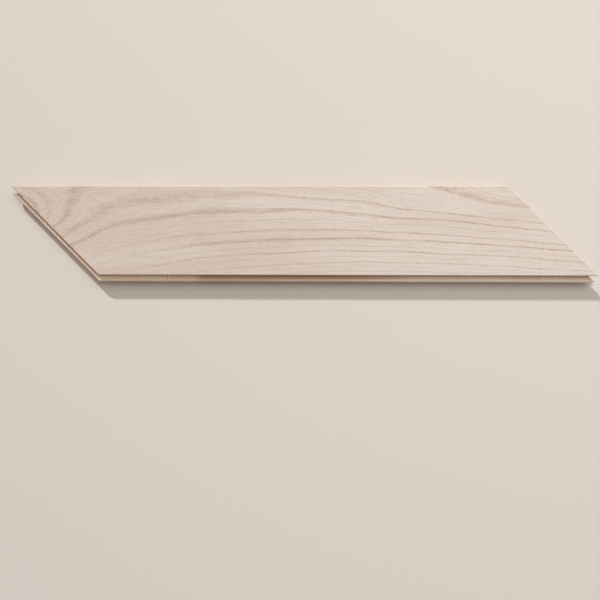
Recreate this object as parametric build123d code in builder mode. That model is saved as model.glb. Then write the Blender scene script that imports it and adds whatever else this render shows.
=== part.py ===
"""Chevron floor plank in three glued layers, tongued and grooved all round.

The face is a parallelogram with both ends cut on the slant. The origin is the middle of the plank on its underside,
+X runs along the plank, +Y from the tongued long edge to the grooved one, and +Z out of the oak face.
"""

import os
from math import radians, sin, tan

from build123d import *

# Face outline, in millimetres and degrees
face_width = 91.0
edge_length = 509.0
end_angle = 45.0

# Layers, from the face down
wear_thickness = 3.5
core_thickness = 8.5
backing_thickness = 2.0

# Broken edge round the face
face_bevel = 0.3

# Tongues along the -Y edge and the -X end
tongue_thickness = 4.6
tongue_top_depth = 4.2
long_tongue_reach = 6.5
end_tongue_reach = 5.2
nose_chamfer = 0.8

# Grooves along the +Y edge and the +X end: clearance at each cheek, and room left past the tongue's nose
cheek_clearance = 0.1
nose_clearance = 0.5

# Underside: it tapers in below the tongues, and the lower lip of a groove is shorter than the upper one,
# so that two faces close before anything under them touches
underside_taper = 15.0
lip_setback = 0.8

# Relief kerfs sawn across the back: the pitch is evened out between the first and the last
kerf_width = 2.8
kerf_depth = 3.0
kerf_pitch = 100.0
first_kerf_from_tip = 64.0
last_kerf_from_tip = 36.0

# Levels
core_bottom = backing_thickness
core_top = core_bottom + core_thickness
face_level = core_top + wear_thickness
tongue_top = face_level - tongue_top_depth
tongue_bottom = tongue_top - tongue_thickness
groove_height = tongue_thickness + 2 * cheek_clearance
groove_bottom = tongue_bottom - cheek_clearance
long_groove_depth = long_tongue_reach + nose_clearance
end_groove_depth = end_tongue_reach + nose_clearance

# The slanted ends
end_run = 1 / tan(radians(end_angle))
end_square = 1 / sin(radians(end_angle))
tip_to_tip = edge_length + face_width * end_run
left_tip = -tip_to_tip / 2
right_tip = tip_to_tip / 2

# Kerf places
kerf_room = tip_to_tip - first_kerf_from_tip - last_kerf_from_tip
kerf_gaps = max(1, round(kerf_room / kerf_pitch))
kerf_step = kerf_room / kerf_gaps
kerf_places = [left_tip + first_kerf_from_tip + index * kerf_step for index in range(kerf_gaps + 1)]


def outline(groove_edge=0.0, tongue_edge=0.0, tongue_end=0.0, groove_end=0.0):
    """Corners of the face, with each edge moved outwards by the distance given for it."""
    high = face_width / 2 + groove_edge
    low = -face_width / 2 - tongue_edge
    left = -edge_length / 2 - tongue_end * end_square
    right = edge_length / 2 + groove_end * end_square
    return [
        (left - high * end_run, high),
        (right - high * end_run, high),
        (right - low * end_run, low),
        (left - low * end_run, low),
    ]


def underside(level):
    """Corners of the plank at a level below its tongues."""
    inset = (tongue_bottom - level) * tan(radians(underside_taper))
    lip_inset = inset + lip_setback
    return outline(-lip_inset, -inset, -inset, -lip_inset)


os.makedirs("parts", exist_ok=True)

# Oak wear layer
with BuildPart() as oak_wear_layer:
    with BuildSketch(Plane.XY.offset(core_top)):
        Polygon(*outline(), align=None)
    extrude(amount=wear_thickness)
    face = oak_wear_layer.faces().sort_by(Axis.Z)[-1]
    chamfer(face.edges(), length=face_bevel)

# Softwood core: the tongue plate with its nose eased, the block over it and the tapered block under it
with BuildPart() as softwood_core:
    with BuildSketch(Plane.XY.offset(tongue_bottom)):
        Polygon(*outline(tongue_edge=long_tongue_reach, tongue_end=end_tongue_reach), align=None)
    extrude(amount=tongue_thickness)
    sides = softwood_core.faces().filter_by(Axis.Z, reverse=True)
    long_nose = sides.sort_by(Axis.Y)[0].edges().group_by(Axis.Z)
    end_nose = sides.sort_by(Axis.X)[0].edges().group_by(Axis.Z)
    chamfer(long_nose[0] + long_nose[-1] + end_nose[0] + end_nose[-1], length=nose_chamfer)

    with BuildSketch(Plane.XY.offset(tongue_bottom)):
        Polygon(*outline(), align=None)
    extrude(amount=core_top - tongue_bottom)
    with BuildSketch(Plane.XY.offset(core_bottom)):
        Polygon(*underside(core_bottom), align=None)
    extrude(amount=tongue_bottom - core_bottom, taper=-underside_taper)

    # Each groove is milled right through, so it also trims the tongue that meets it at the tip
    with BuildSketch(Plane.XY.offset(groove_bottom)):
        Polygon(*outline(nose_clearance, long_tongue_reach, end_tongue_reach, nose_clearance), align=None)
        kept = outline(-long_groove_depth, 2 * long_tongue_reach, 2 * end_tongue_reach, -end_groove_depth)
        Polygon(*kept, align=None, mode=Mode.SUBTRACT)
    extrude(amount=groove_height, mode=Mode.SUBTRACT)

    with BuildSketch(Plane.XY):
        with Locations(*[(place, 0) for place in kerf_places]):
            Rectangle(kerf_width, face_width)
    extrude(amount=kerf_depth, mode=Mode.SUBTRACT)

# Backing veneer, in the lengths that the kerfs leave
strip_starts = [left_tip] + [place + kerf_width / 2 for place in kerf_places]
strip_ends = [place - kerf_width / 2 for place in kerf_places] + [right_tip]
for number, (start, end) in enumerate(zip(strip_starts, strip_ends), start=1):
    with BuildPart() as backing_strip:
        with BuildSketch(Plane.XY):
            Polygon(*underside(0), align=None)
        extrude(amount=backing_thickness, taper=-underside_taper)
        with BuildSketch(Plane.XY):
            with Locations(((start + end) / 2, 0)):
                Rectangle(end - start, face_width)
        extrude(amount=backing_thickness, mode=Mode.INTERSECT)
    backing_strip.part.label = f"backing_strip_{number}"
    export_step(backing_strip.part, f"parts/backing_strip_{number}.step")

oak_wear_layer.part.label = "oak_wear_layer"
softwood_core.part.label = "softwood_core"
export_step(oak_wear_layer.part, "parts/oak_wear_layer.step")
export_step(softwood_core.part, "parts/softwood_core.step")
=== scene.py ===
"""Chevron floor plank: a limed oak face on a cross-laid softwood core, with a kerfed veneer back."""

from math import radians, sqrt

import bpy
import numpy as np
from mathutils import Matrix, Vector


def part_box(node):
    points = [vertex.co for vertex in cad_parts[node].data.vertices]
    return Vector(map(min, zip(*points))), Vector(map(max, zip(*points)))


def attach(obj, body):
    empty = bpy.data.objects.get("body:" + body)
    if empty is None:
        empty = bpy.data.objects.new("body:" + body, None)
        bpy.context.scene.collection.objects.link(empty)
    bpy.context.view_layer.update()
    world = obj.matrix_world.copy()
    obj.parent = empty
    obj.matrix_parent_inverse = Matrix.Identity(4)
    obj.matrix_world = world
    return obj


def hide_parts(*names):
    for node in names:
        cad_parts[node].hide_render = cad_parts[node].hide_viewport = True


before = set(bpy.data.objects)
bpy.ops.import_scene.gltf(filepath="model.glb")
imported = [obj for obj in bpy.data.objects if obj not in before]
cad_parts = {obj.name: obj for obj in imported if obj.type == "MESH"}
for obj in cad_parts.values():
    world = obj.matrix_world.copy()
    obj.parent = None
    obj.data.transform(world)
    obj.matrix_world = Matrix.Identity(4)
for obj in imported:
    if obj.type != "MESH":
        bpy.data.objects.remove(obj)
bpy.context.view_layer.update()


# Backing veneer
# A thin sheet of pale peeled softwood, its grain along the plank, glued under the core to keep it flat.
# The relief kerfs sawn across the finished plank cut it into seven lengths.


def add(tree, kind, inputs=None, **settings):
    """A node with its settings, and its inputs set or linked by name or number."""
    made = tree.nodes.new(kind)
    for name, value in settings.items():
        setattr(made, name, value)
    for key, value in (inputs or {}).items():
        if isinstance(value, bpy.types.NodeSocket):
            tree.links.new(value, made.inputs[key])
        else:
            made.inputs[key].default_value = value
    return made


def calc(tree, operation, *values):
    """A sum on up to three numbers that change over the wood."""
    return add(tree, "ShaderNodeMath", dict(enumerate(values)), operation=operation).outputs[0]


def fade(tree, value, start, stop, low=0.0, high=1.0):
    """A soft step from low to high while the value goes from start to stop."""
    inputs = {"Value": value, "From Min": start, "From Max": stop, "To Min": low, "To Max": high}
    return add(tree, "ShaderNodeMapRange", inputs, interpolation_type="SMOOTHSTEP").outputs["Result"]


def cloudy(tree, place, size, detail=2.0):
    """Noise whose patches have a given length, width and height."""
    scaled = add(tree, "ShaderNodeVectorMath", {0: place, 1: size}, operation="DIVIDE").outputs[0]
    return add(tree, "ShaderNodeTexNoise", {"Vector": scaled, "Scale": 1.0, "Detail": detail}).outputs[0]


noise_middle = 0.5


def stain(tree, share, wood, mark):
    """The wood's colour going over to a mark's colour."""
    mixed = add(tree, "ShaderNodeMix", {0: share, 6: wood, 7: mark}, data_type="RGBA")
    return mixed.outputs[2]


def tone(red, green, blue):
    """A colour given as screen values from 0 to 255."""
    return tuple(((value / 255 + 0.055) / 1.055) ** 2.4 for value in (red, green, blue)) + (1.0,)


dull_shine = 0.25


def matt_finish(name, roughness):
    """A matt material, its node tree, its shader, and the place on the piece that its grain follows."""
    material = bpy.data.materials.new(name)
    material.use_nodes = True
    tree = material.node_tree
    shader = tree.nodes["Principled BSDF"]
    shader.inputs["Roughness"].default_value = roughness
    shader.inputs["Specular IOR Level"].default_value = dull_shine
    place = add(tree, "ShaderNodeTexCoord").outputs["Object"]
    return material, tree, shader, place


def finish_wood(tree, shader, colour, furrow, strength, depth):
    """Gives a wood's shader its colour, and the fine relief of its furrows."""
    tree.links.new(colour, shader.inputs["Base Color"])
    bump = add(tree, "ShaderNodeBump", {"Height": furrow, "Strength": strength, "Distance": depth})
    tree.links.new(bump.outputs["Normal"], shader.inputs["Normal"])


def dress(node, material):
    """Gives a CAD node its finish."""
    node.data.materials.clear()
    node.data.materials.append(material)


# Fine grain that all three layers share: streaks of fibre, and the short dark flecks of cut pores
streak_detail = 4.0
fleck_detail = 1.0
fleck_edge = 0.12
fine_grain = bpy.data.node_groups.new("fine_grain", "ShaderNodeTree")
for socket_name in ("Place", "Streak Size", "Fleck Size"):
    fine_grain.interface.new_socket(socket_name, in_out="INPUT", socket_type="NodeSocketVector")
fine_grain.interface.new_socket("Fleck Cut", in_out="INPUT", socket_type="NodeSocketFloat")
for socket_name in ("Streaks", "Flecks"):
    fine_grain.interface.new_socket(socket_name, in_out="OUTPUT", socket_type="NodeSocketFloat")
given = add(fine_grain, "NodeGroupInput").outputs
streaks = cloudy(fine_grain, given["Place"], given["Streak Size"], streak_detail)
fleck_noise = cloudy(fine_grain, given["Place"], given["Fleck Size"], fleck_detail)
over_cut = calc(fine_grain, "SUBTRACT", fleck_noise, given["Fleck Cut"])
flecks = fade(fine_grain, over_cut, 0.0, fleck_edge)
add(fine_grain, "NodeGroupOutput", {"Streaks": streaks, "Flecks": flecks})


def grain_in(tree, place, streak_size, fleck_size, fleck_cut):
    """The shared grain at this wood's own scale."""
    inputs = {"Place": place, "Streak Size": streak_size, "Fleck Size": fleck_size, "Fleck Cut": fleck_cut}
    outputs = add(tree, "ShaderNodeGroup", inputs, node_tree=fine_grain).outputs
    return outputs["Streaks"], outputs["Flecks"]


# Sizes of streaks, flecks and clouds are length, width and height in metres. Levels are those of the noise
raw_roughness = 0.85
veneer_cream = tone(236, 228, 216)
veneer_shadow = tone(226, 213, 195)
veneer_line = tone(205, 186, 162)
veneer_fleck = tone(176, 152, 126)
veneer_streak_size = (0.070, 0.0008, 0.0008)
veneer_fleck_size = (0.006, 0.0004, 0.0004)
veneer_fleck_cut = 0.60
veneer_cloud_size = (0.30, 0.014, 0.014)
veneer_cloud_levels = (0.35, 0.65)
veneer_line_levels = (0.50, 0.75)
veneer_line_share = 0.45
veneer_fleck_share = 0.35
veneer_relief_strength = 0.5
veneer_relief_depth = 0.0001

backing_veneer, tree, shader, place = matt_finish("backing_veneer", raw_roughness)
streaks, flecks = grain_in(tree, place, veneer_streak_size, veneer_fleck_size, veneer_fleck_cut)
cloud = cloudy(tree, place, veneer_cloud_size)
colour = stain(tree, fade(tree, cloud, *veneer_cloud_levels), veneer_cream, veneer_shadow)
colour = stain(tree, fade(tree, streaks, *veneer_line_levels, 0.0, veneer_line_share), colour, veneer_line)
colour = stain(tree, calc(tree, "MULTIPLY", flecks, veneer_fleck_share), colour, veneer_fleck)
furrow = calc(tree, "SUBTRACT", streaks, flecks)
finish_wood(tree, shader, colour, furrow, veneer_relief_strength, veneer_relief_depth)

strip_names = sorted(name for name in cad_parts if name.startswith("backing_strip"))
for name in strip_names:
    dress(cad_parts[name], backing_veneer)


# Softwood core
# Slats of pale spruce laid side by side across the plank and glued between the two faces.
# Tongues and grooves are milled in it, so their tops show long grain and their noses end grain.
slat_width = 0.027
slat_heart_spread = 2.0 * slat_width
slat_heart_least = 0.012
slat_heart_range = 0.030
ring_width = 0.0021
ring_sway = 0.004
ring_sway_size = (0.010, 0.060, 0.010)
late_rises = (0.35, 0.85)
late_falls = (0.90, 1.0)
knots = ((-0.140, -0.0490, 0.0075), (0.118, 0.0430, 0.0040))
knot_radius = 0.0026
knot_core = 0.3 * knot_radius
knot_edge = 1.3 * knot_radius
knot_ragged = 0.004
knot_share = 0.55

# One darker board in the core, which goes over softly into the pale ones
brown_rises = (-0.116, -0.099)
brown_fades = (0.024, 0.134)
brown_share = 0.95

# Painted highlight: the tongue is painted paler along its nose, more so to the right, for light that reaches
# it there
nose_highlight_width = 0.0015
nose_highlight_edge = 0.0035
nose_highlight_reach = (-0.25, 0.25)
nose_highlight_shares = (0.20, 0.80)

# Painted shade: the wood is painted browner along the grooved edge, the side that the low key light falls on
painted_shade_from = (0.034, 0.042)
painted_shade_share = 0.6

spruce_early = tone(243, 217, 195)
spruce_late = tone(212, 180, 147)
spruce_pink = tone(239, 205, 181)
slat_joint = tone(160, 128, 98)
# Brown spruce: the darker board's colour, and the painted shade along the grooved edge
spruce_brown_and_painted_shade = tone(196, 160, 131)
# Pale spruce: the torn fibres' own colour, and the painted highlight on the tongue's nose
pale_spruce_and_painted_highlight = tone(250, 238, 222)
knot_brown = tone(158, 108, 76)
glue_line = tone(168, 138, 104)
spruce_streak_size = (0.0007, 0.030, 0.0007)
spruce_fleck_size = (0.0004, 0.006, 0.0004)
spruce_fleck_cut = 0.62
pink_levels = (0.2, 0.9)
pink_share = 0.8
late_share = 0.22
spruce_line_levels = (0.45, 0.75)
spruce_line_share = 0.25
joint_levels = (0.004, 0.010)
joint_share = 0.4
glue_levels = (0.00008, 0.00022)
glue_share = 0.7
spruce_relief_strength = 0.6
spruce_relief_depth = 0.00015

core_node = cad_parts["softwood_core"]
core_low, core_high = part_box("softwood_core")

spruce, tree, shader, place = matt_finish("cross_laid_spruce", raw_roughness)
at = add(tree, "ShaderNodeSeparateXYZ", {0: place}).outputs
slat_place = calc(tree, "DIVIDE", at["X"], slat_width)
slat_number = calc(tree, "FLOOR", slat_place)
slat_chance = add(tree, "ShaderNodeTexWhiteNoise", {"W": slat_number}, noise_dimensions="1D").outputs["Color"]
chance = add(tree, "ShaderNodeSeparateColor", {0: slat_chance}).outputs
in_slat = calc(tree, "SUBTRACT", slat_place, slat_number)

# Each slat has the heart of its own tree at some depth below it and to one side
off_heart = calc(tree, "MULTIPLY", calc(tree, "SUBTRACT", in_slat, chance["Red"]), slat_heart_spread)
heart_depth = calc(tree, "MULTIPLY_ADD", chance["Green"], slat_heart_range, slat_heart_least)
from_heart = calc(tree, "ADD", at["Z"], heart_depth)
sway = calc(tree, "MULTIPLY", cloudy(tree, place, ring_sway_size), ring_sway)
squares = calc(tree, "ADD", calc(tree, "POWER", off_heart, 2.0), calc(tree, "POWER", from_heart, 2.0))
reach = calc(tree, "SQRT", squares)
ring = calc(tree, "FRACT", calc(tree, "DIVIDE", calc(tree, "ADD", reach, sway), ring_width))
late = calc(tree, "MULTIPLY", fade(tree, ring, *late_rises), fade(tree, ring, *late_falls, 1.0, 0.0))

streaks, flecks = grain_in(tree, place, spruce_streak_size, spruce_fleck_size, spruce_fleck_cut)
colour = stain(tree, fade(tree, chance["Blue"], *pink_levels, 0.0, pink_share), spruce_early, spruce_pink)
brown_left = fade(tree, at["X"], *brown_rises)
brown_right = fade(tree, at["X"], *brown_fades, brown_share, 0.0)
brown_board = calc(tree, "MULTIPLY", brown_left, brown_right)
colour = stain(tree, brown_board, colour, spruce_brown_and_painted_shade)
colour = stain(tree, calc(tree, "MULTIPLY", late, late_share), colour, spruce_late)
colour = stain(tree, fade(tree, streaks, *spruce_line_levels, 0.0, spruce_line_share), colour, spruce_late)
to_joint = calc(tree, "MINIMUM", in_slat, calc(tree, "SUBTRACT", 1.0, in_slat))
colour = stain(tree, fade(tree, to_joint, *joint_levels, joint_share, 0.0), colour, slat_joint)
for knot in knots:
    away = add(tree, "ShaderNodeVectorMath", {0: place, 1: knot}, operation="DISTANCE").outputs["Value"]
    ragged = calc(tree, "MULTIPLY_ADD", calc(tree, "SUBTRACT", streaks, noise_middle), knot_ragged, away)
    dark_knot = fade(tree, ragged, knot_core, knot_edge, knot_share, 0.0)
    colour = stain(tree, dark_knot, colour, knot_brown)
# Painted highlight along the tongue's nose, stronger to the right
nose_highlight_share = fade(tree, at["X"], *nose_highlight_reach, *nose_highlight_shares)
painted_nose_highlight = fade(tree, at["Y"], core_low.y + nose_highlight_width, core_low.y + nose_highlight_edge, nose_highlight_share, 0.0)
colour = stain(tree, painted_nose_highlight, colour, pale_spruce_and_painted_highlight)
# Painted shade along the grooved edge
painted_edge_shade = fade(tree, at["Y"], *painted_shade_from, 0.0, painted_shade_share)
colour = stain(tree, painted_edge_shade, colour, spruce_brown_and_painted_shade)
for level in (core_low.z, core_high.z):
    to_glue = calc(tree, "ABSOLUTE", calc(tree, "SUBTRACT", at["Z"], level))
    colour = stain(tree, fade(tree, to_glue, *glue_levels, glue_share, 0.0), colour, glue_line)
furrow = calc(tree, "SUBTRACT", calc(tree, "SUBTRACT", streaks, flecks), late)
finish_wood(tree, shader, colour, furrow, spruce_relief_strength, spruce_relief_depth)
dress(core_node, spruce)


# Oak wear layer
# A sawn oak lamella, 3.5 mm thick, glued on the core with its edges broken. Its face is brushed, so the soft
# early wood of each ring lies a little lower, then limed and left dead matt. The edges stay raw oak.
wear_low, wear_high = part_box("oak_wear_layer")
half_width = wear_high.y
half_edge = wear_high.x - half_width
face_bevel = 0.0003
cells_along = 400
cells_across = 220
brushed_depth = 0.00003


def face_points(along, across, inset, level):
    """Points of the slanted outline: along and across go from -1 to 1, and its edges move in by the inset."""
    y = across * (half_width - inset)
    x = along * (half_edge - inset * sqrt(2)) - y
    return np.column_stack([x, y, np.full_like(x, level)])


along, across = np.meshgrid(np.linspace(-1, 1, cells_along + 1), np.linspace(-1, 1, cells_across + 1))
numbers = np.arange(along.size).reshape(along.shape)
cell_corners = [numbers[:-1, :-1], numbers[:-1, 1:], numbers[1:, 1:], numbers[1:, :-1]]
face_quads = np.stack(cell_corners, axis=-1).reshape(-1, 4)
rim = np.concatenate([numbers[0, :-1], numbers[:-1, -1], numbers[-1, :0:-1], numbers[:0:-1, 0]])
rim_along, rim_across = along.ravel()[rim], across.ravel()[rim]
points = np.concatenate([
    face_points(along.ravel(), across.ravel(), face_bevel, wear_high.z),
    face_points(rim_along, rim_across, 0.0, wear_high.z - face_bevel),
    face_points(rim_along, rim_across, 0.0, wear_low.z),
])
bevel_rim = along.size + np.arange(rim.size)
foot_rim = bevel_rim + rim.size
walls = [
    np.stack([lower, np.roll(lower, -1), np.roll(upper, -1), upper], axis=-1)
    for upper, lower in ((rim, bevel_rim), (bevel_rim, foot_rim))
]
polygons = np.concatenate([face_quads, *walls]).tolist()
polygons.append(foot_rim[::-1].tolist())
lamella = bpy.data.meshes.new("oak_lamella")
lamella.from_pydata(points.tolist(), [], polygons)
smooth = np.zeros(len(lamella.polygons), dtype=bool)
smooth[:len(face_quads)] = True
lamella.polygons.foreach_set("use_smooth", smooth)
oak_face = bpy.data.objects.new("oak_face", lamella)
bpy.context.scene.collection.objects.link(oak_face)

# How far from the tree's heart each year's ring starts, and how dark its band of early wood is
year_starts = (
    0.100, 0.105, 0.111, 0.114, 0.117, 0.1204, 0.1255, 0.130,
    0.135, 0.140, 0.1455, 0.149, 0.153, 0.157, 0.1605, 0.164,
)
year_darkness = (0.4, 0.4, 1.0, 0.6, 0.8, 0.75, 0.9, 0.35, 0.8, 0.9, 0.5, 0.9, 0.4, 0.7, 0.4, 0.6)
first_reach, last_reach = 0.095, 0.168
years = len(year_starts) + 1

oak_plain = tone(221, 205, 192)
oak_limed = tone(232, 219, 208)
oak_grey = tone(192, 174, 159)
oak_grey_band = tone(176, 156, 141)
oak_brown_band = tone(174, 142, 118)
oak_pore = tone(146, 122, 102)
oak_raw = tone(180, 154, 126)
oak_roughness = 0.75
oak_streak_size = (0.045, 0.0007, 0.0007)
oak_fleck_size = (0.0048, 0.0006, 0.0006)
oak_fleck_cut = 0.54

# The two years that come up as arcs at the left tip pale to the right, and the outer years pale to the left
arc_years_middle = 4.5
arc_years_reach = 0.6
arcs_pale = (-0.12, 0.02)
arcs_pale_share = 0.75
outer_years_after = 7.5
corner_pale = (-0.20, -0.06)
corner_pale_share = 0.55

# Towards the right one year darkens slowly up to its end, and the next one starts pale
slow_year, next_year = 2.0, 3.0
same_year = 0.5
slow_from = (0.0, 0.08)
slow_rises = (0.15, 0.9)
slow_falls = (0.90, 1.0)
slow_share = 0.6
next_pale_share = 0.9

# Bands of early wood, as shares of their year: to the left the face lies flatter to the rings, so they are
# wider, start more softly and show more
flatter_part = (-0.16, 0.10)
band_width = 0.12
band_width_by_darkness = 0.30
flatter_widening = 0.6
band_start = 0.12
flatter_start = 0.18
band_full = 0.9
band_share = 0.7
flatter_share = 0.10
patch_size = (0.035, 0.0035, 0.0035)
patch_levels = (0.25, 0.60)
patch_least = 0.35
brown_bands_from = (-0.20, 0.10)

# Fainter lines between the bands, the limed cloud over the face, with painted light making it paler to the
# right, fibre streaks, and pores
minor_lines = 3.0
minor_sway = 2.0
minor_sway_size = (0.050, 0.006, 0.006)
minor_fades = (0.0, 0.5)
minor_share = 0.25
painted_light_to_right = 0.9
limed_cloud_size = (0.16, 0.020, 0.020)
limed_levels = (0.25, 0.75)
oak_line_levels = (0.45, 0.75)
oak_line_share = 0.40
pore_share_in_band = 0.6
pore_share_elsewhere = 0.12
raw_share = 0.8
raw_edge = 1.4 * face_bevel
pore_depth = 2.0
oak_relief_strength = 0.4
oak_relief_depth = 0.0001

limed_oak, tree, shader, place = matt_finish("limed_oak", oak_roughness)
at = add(tree, "ShaderNodeSeparateXYZ", {0: place}).outputs
year = add(tree, "ShaderNodeAttribute", attribute_name="year").outputs["Fac"]
streaks, flecks = grain_in(tree, place, oak_streak_size, oak_fleck_size, oak_fleck_cut)
year_number = calc(tree, "FLOOR", year)
through_year = calc(tree, "SUBTRACT", year, year_number)
darkness_ramp = add(tree, "ShaderNodeValToRGB", {0: calc(tree, "DIVIDE", year_number, years)})
darkness_ramp.color_ramp.interpolation = "CONSTANT"
darkness_ramp.color_ramp.elements.remove(darkness_ramp.color_ramp.elements[0])
for number, dark in enumerate(year_darkness, start=1):
    stop = darkness_ramp.color_ramp.elements.new((number - 0.5) / years)
    stop.color = (dark, dark, dark, 1.0)
arc_years = calc(tree, "COMPARE", year_number, arc_years_middle, arc_years_reach)
pale_arcs = calc(tree, "MULTIPLY", arc_years, fade(tree, at["X"], *arcs_pale, 0.0, arcs_pale_share))
outer_years = calc(tree, "GREATER_THAN", year_number, outer_years_after)
pale_corner = calc(tree, "MULTIPLY", outer_years, fade(tree, at["X"], *corner_pale, corner_pale_share, 0.0))
in_next_year = calc(tree, "COMPARE", year_number, next_year, same_year)
pale_next = calc(tree, "MULTIPLY", in_next_year, fade(tree, at["X"], *slow_from, 0.0, next_pale_share))
paling = calc(tree, "ADD", calc(tree, "ADD", pale_arcs, pale_corner), pale_next)
darkness = calc(tree, "MULTIPLY", darkness_ramp.outputs["Color"], calc(tree, "SUBTRACT", 1.0, paling))

flatter = fade(tree, at["X"], *flatter_part, 1.0, 0.0)
band_end = calc(tree, "MULTIPLY_ADD", darkness, band_width_by_darkness, band_width)
band_end = calc(tree, "MULTIPLY", band_end, calc(tree, "MULTIPLY_ADD", flatter, flatter_widening, 1.0))
band = calc(tree, "SUBTRACT", 1.0, calc(tree, "DIVIDE", through_year, band_end))
soft_start = calc(tree, "MULTIPLY_ADD", flatter, flatter_start, band_start)
early = calc(tree, "MULTIPLY", fade(tree, band, 0.0, band_full), fade(tree, through_year, 0.0, soft_start))
early = calc(tree, "MULTIPLY", early, darkness)
in_slow_year = calc(tree, "COMPARE", year_number, slow_year, same_year)
slow_part = calc(tree, "MULTIPLY", in_slow_year, fade(tree, at["X"], *slow_from, 0.0, slow_share))
slow_fall = fade(tree, through_year, *slow_falls, 1.0, 0.0)
slow_band = calc(tree, "MULTIPLY", fade(tree, through_year, *slow_rises), slow_fall)
early = calc(tree, "MAXIMUM", early, calc(tree, "MULTIPLY", slow_part, slow_band))
patchy = cloudy(tree, place, patch_size)
early = calc(tree, "MULTIPLY", early, fade(tree, patchy, *patch_levels, patch_least, 1.0))

uneven = calc(tree, "MULTIPLY", cloudy(tree, place, minor_sway_size), minor_sway)
minor = calc(tree, "FRACT", calc(tree, "MULTIPLY_ADD", year, minor_lines, uneven))
# The limed cloud plus painted light: the face is painted paler to the right
cloud = calc(tree, "MULTIPLY_ADD", at["X"], painted_light_to_right, cloudy(tree, place, limed_cloud_size))
band_colour = stain(tree, fade(tree, at["X"], *brown_bands_from), oak_grey_band, oak_brown_band)
colour = stain(tree, fade(tree, cloud, *limed_levels), oak_plain, oak_limed)
colour = stain(tree, fade(tree, streaks, *oak_line_levels, 0.0, oak_line_share), colour, oak_grey)
colour = stain(tree, fade(tree, minor, *minor_fades, minor_share, 0.0), colour, oak_grey)
shown = calc(tree, "MULTIPLY_ADD", flatter, flatter_share, band_share)
colour = stain(tree, calc(tree, "MULTIPLY", early, shown), colour, band_colour)
pores_here = calc(tree, "MULTIPLY_ADD", early, pore_share_in_band, pore_share_elsewhere)
pores = calc(tree, "MULTIPLY", flecks, pores_here)
colour = stain(tree, pores, colour, oak_pore)
raw_side = fade(tree, at["Z"], wear_high.z - raw_edge, wear_high.z - face_bevel, raw_share, 0.0)
colour = stain(tree, raw_side, colour, oak_raw)
furrow = calc(tree, "SUBTRACT", streaks, calc(tree, "MULTIPLY", pores, pore_depth))
finish_wood(tree, shader, colour, furrow, oak_relief_strength, oak_relief_depth)

# The tree the lamella was sawn from: its heart lies far under the face, wanders off past the grooved edge,
# and bends sharply at the left tip, where the rings come up as arcs. Right of the middle a dent in the
# trunk draws them in near the grooved edge
heart_across = 0.076
heart_lean = 0.12
heart_curve = 0.13
heart_depth_below = 0.120
heart_dip = 0.23
heart_dip_place = -0.174
bend_place = -0.260
bend_sideways, bend_sideways_length = 0.0135, 0.040
bend_rise, bend_rise_length = 0.0040, 0.030
dent_depth = 0.0027
dent_across = (0.020, 0.045)
dent_starts = (0.0, 0.08)
dent_ends = (0.12, 0.20)
slow_sway, slow_sway_size = 0.0035, (0.070, 0.018, 0.018)
quick_sway, quick_sway_size = 0.0007, (0.012, 0.004, 0.004)
soft_from, soft_until = 0.08, 0.40

# Brushing: finds how far each point is from the tree's heart, and lowers the face where the wood is soft
brushing = bpy.data.node_groups.new("brushed_face", "GeometryNodeTree")
brushing.interface.new_socket("Geometry", in_out="INPUT", socket_type="NodeSocketGeometry")
for socket_name in ("Brushed Depth", "Face Level"):
    brushing.interface.new_socket(socket_name, in_out="INPUT", socket_type="NodeSocketFloat")
brushing.interface.new_socket("Finish", in_out="INPUT", socket_type="NodeSocketMaterial")
brushing.interface.new_socket("Geometry", in_out="OUTPUT", socket_type="NodeSocketGeometry")
given = add(brushing, "NodeGroupInput").outputs
position = add(brushing, "GeometryNodeInputPosition").outputs[0]
at = add(brushing, "ShaderNodeSeparateXYZ", {0: position}).outputs
past_bend = calc(brushing, "SUBTRACT", bend_place, at["X"])


def bend_of(amount, length):
    """How much the tree's bend at the left tip still tells at this point."""
    fall = calc(brushing, "EXPONENT", calc(brushing, "DIVIDE", past_bend, length))
    return calc(brushing, "MULTIPLY", fall, amount)


def sway_of(amount, size):
    """How far the rings sway from their true curve at this point."""
    either_way = calc(brushing, "SUBTRACT", cloudy(brushing, position, size), noise_middle)
    return calc(brushing, "MULTIPLY", either_way, amount)


lean = calc(brushing, "MULTIPLY_ADD", at["X"], heart_lean, heart_across)
curve = calc(brushing, "MULTIPLY", calc(brushing, "POWER", at["X"], 2.0), heart_curve)
straight = calc(brushing, "SUBTRACT", lean, curve)
sideways = calc(brushing, "SUBTRACT", straight, bend_of(bend_sideways, bend_sideways_length))
to_side = calc(brushing, "SUBTRACT", at["Y"], sideways)
from_dip = calc(brushing, "POWER", calc(brushing, "SUBTRACT", at["X"], heart_dip_place), 2.0)
dip = calc(brushing, "MULTIPLY", from_dip, heart_dip)
rise = calc(brushing, "ADD", dip, bend_of(bend_rise, bend_rise_length))
below_face = calc(brushing, "SUBTRACT", heart_depth_below, rise)
under_face = calc(brushing, "SUBTRACT", given["Face Level"], at["Z"])
to_heart = calc(brushing, "SUBTRACT", below_face, under_face)
squares = calc(brushing, "ADD", calc(brushing, "POWER", to_side, 2.0), calc(brushing, "POWER", to_heart, 2.0))
sway = calc(brushing, "ADD", sway_of(slow_sway, slow_sway_size), sway_of(quick_sway, quick_sway_size))
dent_left = fade(brushing, at["X"], *dent_starts)
dent_right = fade(brushing, at["X"], *dent_ends, dent_depth, 0.0)
dent_along = calc(brushing, "MULTIPLY", dent_left, dent_right)
dent = calc(brushing, "MULTIPLY", dent_along, fade(brushing, at["Y"], *dent_across))
dented_reach = calc(brushing, "ADD", calc(brushing, "SQRT", squares), dent)
ring_reach = calc(brushing, "ADD", dented_reach, sway)
reach_range = {"Value": ring_reach, "From Min": first_reach, "From Max": last_reach}
reach_share = add(brushing, "ShaderNodeMapRange", reach_range).outputs["Result"]
growth = add(brushing, "ShaderNodeFloatCurve", {"Value": reach_share})
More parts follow.
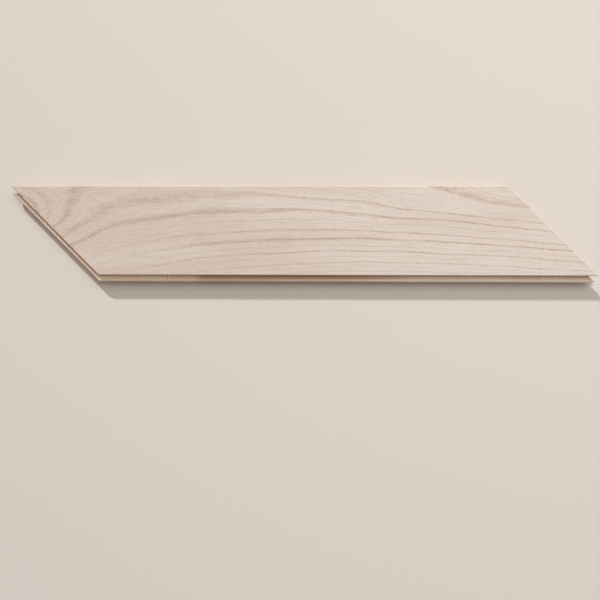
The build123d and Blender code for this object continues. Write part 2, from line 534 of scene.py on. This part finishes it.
growth_line = growth.mapping.curves[0]
for number, year_start in enumerate(year_starts, start=1):
    growth_line.points.new((year_start - first_reach) / (last_reach - first_reach), number / years)
growth.mapping.update()
year = calc(brushing, "MULTIPLY", growth.outputs[0], years)
through_year = calc(brushing, "FRACT", year)
softening = fade(brushing, through_year, 0.0, soft_from)
hardening = fade(brushing, through_year, soft_from, soft_until, 1.0, 0.0)
soft = calc(brushing, "MULTIPLY", softening, hardening)
lowered = calc(brushing, "MULTIPLY", soft, calc(brushing, "MULTIPLY", given["Brushed Depth"], -1.0))
offset = add(brushing, "ShaderNodeCombineXYZ", {"Z": lowered}).outputs[0]
bevel_middle = calc(brushing, "SUBTRACT", given["Face Level"], 0.5 * face_bevel)
on_face = calc(brushing, "GREATER_THAN", at["Z"], bevel_middle)
kept_year = {"Geometry": given["Geometry"], "Name": "year", "Value": year}
stored = add(brushing, "GeometryNodeStoreNamedAttribute", kept_year, data_type="FLOAT", domain="POINT")
moved = {"Geometry": stored.outputs[0], "Selection": on_face, "Offset": offset}
brushed = add(brushing, "GeometryNodeSetPosition", moved)
realized = add(brushing, "GeometryNodeRealizeInstances", {0: brushed.outputs[0]})
finish = {"Geometry": realized.outputs[0], "Material": given["Finish"]}
finished = add(brushing, "GeometryNodeSetMaterial", finish)
add(brushing, "NodeGroupOutput", {0: finished.outputs[0]})


def run_tree(piece, tree, values):
    """Runs a geometry tree on a piece with values for its named inputs, and keeps the result as its mesh."""
    modifier = piece.modifiers.new(tree.name, "NODES")
    modifier.node_group = tree
    for item in tree.interface.items_tree:
        if item.in_out == "INPUT" and item.name in values:
            modifier[item.identifier] = values[item.name]
    evaluated = piece.evaluated_get(bpy.context.evaluated_depsgraph_get())
    piece.data = bpy.data.meshes.new_from_object(evaluated)
    piece.modifiers.clear()


run_tree(oak_face, brushing, {
    "Brushed Depth": brushed_depth, "Face Level": wear_high.z, "Finish": limed_oak,
})
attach(oak_face, "root")
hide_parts("oak_wear_layer")


# Torn fibres
# Where the saw and the cutter leave the wood it tears: veneer fibres reach into the kerfs,
# short ones stand off the tongue's nose, and one long sliver has lifted there.
fibre_sides = 5
fibre_tip, fibre_root = 0.08, 0.5
slimmest = 0.5
toss_low, toss_high = (-1.0, -1.0, 0.0), (1.0, 1.0, 0.5)

tearing = bpy.data.node_groups.new("torn_fibres", "GeometryNodeTree")
tearing.interface.new_socket("Geometry", in_out="INPUT", socket_type="NodeSocketGeometry")
for socket_name in ("Spacing", "Shortest", "Longest", "Thickness", "Share", "Spread"):
    tearing.interface.new_socket(socket_name, in_out="INPUT", socket_type="NodeSocketFloat")
tearing.interface.new_socket("Seed", in_out="INPUT", socket_type="NodeSocketInt")
tearing.interface.new_socket("Finish", in_out="INPUT", socket_type="NodeSocketMaterial")
tearing.interface.new_socket("Geometry", in_out="OUTPUT", socket_type="NodeSocketGeometry")
given = add(tearing, "NodeGroupInput").outputs


def by_chance(kind, low, high, shift):
    """A random value for each fibre. Each use has a shift of its own from the seed."""
    first_input, output = {"FLOAT_VECTOR": (0, 0), "FLOAT": (2, 1)}[kind]
    inputs = {first_input: low, first_input + 1: high, "Seed": calc(tearing, "ADD", given["Seed"], shift)}
    return add(tearing, "FunctionNodeRandomValue", inputs, data_type=kind).outputs[output]


edge_line = add(tearing, "GeometryNodeMeshToCurve", {0: given["Geometry"]}).outputs[0]
rooting = {"Curve": edge_line, "Length": given["Spacing"]}
roots = add(tearing, "GeometryNodeCurveToPoints", rooting, mode="LENGTH").outputs["Points"]
leaning = add(tearing, "GeometryNodeInputNamedAttribute", {"Name": "lean"}, data_type="FLOAT_VECTOR")
toss = by_chance("FLOAT_VECTOR", toss_low, toss_high, shift=1)
tossed = add(tearing, "ShaderNodeVectorMath", {0: toss, "Scale": given["Spread"]}, operation="SCALE")
ways = {0: leaning.outputs[0], 1: tossed.outputs[0]}
heading = add(tearing, "ShaderNodeVectorMath", ways, operation="ADD").outputs[0]
turned = add(tearing, "FunctionNodeAlignRotationToVector", {"Vector": heading}, axis="Z").outputs[0]
length = by_chance("FLOAT", given["Shortest"], given["Longest"], shift=2)
thickness = calc(tearing, "MULTIPLY", by_chance("FLOAT", slimmest, 1.0, shift=3), given["Thickness"])
scale = add(tearing, "ShaderNodeCombineXYZ", {"X": thickness, "Y": thickness, "Z": length}).outputs[0]
kept = calc(tearing, "LESS_THAN", by_chance("FLOAT", 0.0, 1.0, shift=4), given["Share"])
cone = {"Vertices": fibre_sides, "Radius Top": fibre_tip, "Radius Bottom": fibre_root, "Depth": 1.0}
fibre = add(tearing, "GeometryNodeMeshCone", cone).outputs["Mesh"]
standing = {"Points": roots, "Selection": kept, "Instance": fibre, "Rotation": turned, "Scale": scale}
placed = add(tearing, "GeometryNodeInstanceOnPoints", standing)
realized = add(tearing, "GeometryNodeRealizeInstances", {0: placed.outputs[0]})
finish = {"Geometry": realized.outputs[0], "Material": given["Finish"]}
finished = add(tearing, "GeometryNodeSetMaterial", finish)
add(tearing, "NodeGroupOutput", {0: finished.outputs[0]})


def tear(name, lines, values):
    """Fibres along straight edges, each edge given by its two ends and the way its fibres lean."""
    ends = [point for start, stop, _ in lines for point in (start, stop)]
    edge_mesh = bpy.data.meshes.new(name)
    edge_mesh.from_pydata(ends, [(index, index + 1) for index in range(0, len(ends), 2)], [])
    leans = edge_mesh.attributes.new("lean", "FLOAT_VECTOR", "POINT")
    for index, (_, _, way) in enumerate(lines):
        leans.data[2 * index].vector = way
        leans.data[2 * index + 1].vector = way
    piece = bpy.data.objects.new(name, edge_mesh)
    bpy.context.scene.collection.objects.link(piece)
    run_tree(piece, tearing, values)
    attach(piece, "root")


end_margin = 0.003
kerf_fibre_levels = (0.0004, 0.0013)
kerf_lines = []
for left_name, right_name in zip(strip_names, strip_names[1:]):
    for wall, way in ((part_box(left_name)[1].x, 1.0), (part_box(right_name)[0].x, -1.0)):
        low_end = max(-half_width, -half_edge - wall) + end_margin
        high_end = min(half_width, half_edge - wall) - end_margin
        for level in kerf_fibre_levels:
            kerf_lines.append(((wall, low_end, level), (wall, high_end, level), (way, 0.0, 0.0)))
tear("kerf_fibres", kerf_lines, {
    "Spacing": 0.0006, "Shortest": 0.0003, "Longest": 0.0013, "Thickness": 0.00016,
    "Share": 0.4, "Spread": 0.35, "Seed": 3, "Finish": backing_veneer,
})

torn_spruce, _, shader, _ = matt_finish("torn_spruce", raw_roughness)
shader.inputs["Base Color"].default_value = pale_spruce_and_painted_highlight

root_inset = 0.0006
nose_root = core_low.y + root_inset
nose_level = 0.0094
nose_left, nose_right = half_width - half_edge, half_width + half_edge
nose_line = ((nose_left, nose_root, nose_level), (nose_right, nose_root, nose_level), (0.0, -1.0, 0.0))
tear("nose_fibres", [nose_line], {
    "Spacing": 0.0009, "Shortest": 0.0002, "Longest": 0.0005, "Thickness": 0.00018,
    "Share": 0.35, "Spread": 0.3, "Seed": 8, "Finish": torn_spruce,
})

sliver_start = -0.0085
sliver_root_width = 0.0005
sliver_stop = sliver_start + sliver_root_width
sliver_line = ((sliver_start, nose_root, nose_level), (sliver_stop, nose_root, nose_level), (-1.0, 0.0, 0.0))
tear("nose_sliver", [sliver_line], {
    "Spacing": 0.001, "Shortest": 0.0120, "Longest": 0.0125, "Thickness": 0.0012,
    "Share": 1.0, "Spread": 0.0, "Seed": 1, "Finish": torn_spruce,
})


# Floor, light and camera
# A plain pale floor under the plank, a low key light from behind, a large softbox and an even room light.
# The camera hangs over the tongued edge and looks straight down.
floor_size = 60.0
floor_level = -0.00005
floor_roughness = 0.9
floor_colour = tone(227, 219, 210)
half_floor = floor_size / 2
floor_corners = [
    (x * half_floor, y * half_floor, floor_level) for x, y in ((-1, -1), (1, -1), (1, 1), (-1, 1))
]
floor_mesh = bpy.data.meshes.new("floor")
floor_mesh.from_pydata(floor_corners, [], [(0, 1, 2, 3)])
floor = bpy.data.objects.new("floor", floor_mesh)
bpy.context.scene.collection.objects.link(floor)
floor_paint, _, shader, _ = matt_finish("floor_paint", floor_roughness)
shader.inputs["Base Color"].default_value = floor_colour
floor_mesh.materials.append(floor_paint)

key_height = 27.0
key_turn = 23.0
key = bpy.data.lights.new("key", "SUN")
key.energy = 2.6
key.angle = radians(3.0)
key.color = (0.98, 1.0, 1.02)
key_lamp = bpy.data.objects.new("key", key)
key_lamp.rotation_euler = (radians(key_height - 90), 0, radians(key_turn))
bpy.context.scene.collection.objects.link(key_lamp)

softbox = bpy.data.lights.new("softbox", "AREA")
softbox.shape = "SQUARE"
softbox.size = 1.6
softbox.energy = 13.4
softbox.color = (1.0, 0.96, 0.92)
softbox_lamp = bpy.data.objects.new("softbox", softbox)
softbox_lamp.location = (0.5, 0.8, 1.4)
softbox_lamp.rotation_euler = softbox_lamp.location.to_track_quat("Z", "Y").to_euler()
bpy.context.scene.collection.objects.link(softbox_lamp)

room_colour = (1.0, 0.95, 0.90, 1.0)
room_strength = 0.27
backdrop_colour = (0.86, 0.83, 0.80, 1.0)
world = bpy.data.worlds.new("room")
bpy.context.scene.world = world
world.use_nodes = True
tree = world.node_tree
sky = tree.nodes["Background"]
sky.inputs["Color"].default_value = room_colour
sky.inputs["Strength"].default_value = room_strength
backdrop = add(tree, "ShaderNodeBackground", {"Color": backdrop_colour, "Strength": 1.0})
seen = add(tree, "ShaderNodeLightPath").outputs["Is Camera Ray"]
room = add(tree, "ShaderNodeMixShader", {0: seen, 1: sky.outputs[0], 2: backdrop.outputs[0]})
tree.links.new(room.outputs[0], tree.nodes["World Output"].inputs["Surface"])

camera = bpy.data.cameras.new("camera")
camera.sensor_width = 36
camera.lens = 30
camera_rig = bpy.data.objects.new("camera", camera)
camera_rig.location = (0.0046, -0.0739, 0.5236)
camera_rig.rotation_euler = (radians(0.34), radians(0.76), radians(0.18))
bpy.context.scene.collection.objects.link(camera_rig)
bpy.context.scene.camera = camera_rig
bpy.context.scene.view_settings.view_transform = "Standard"
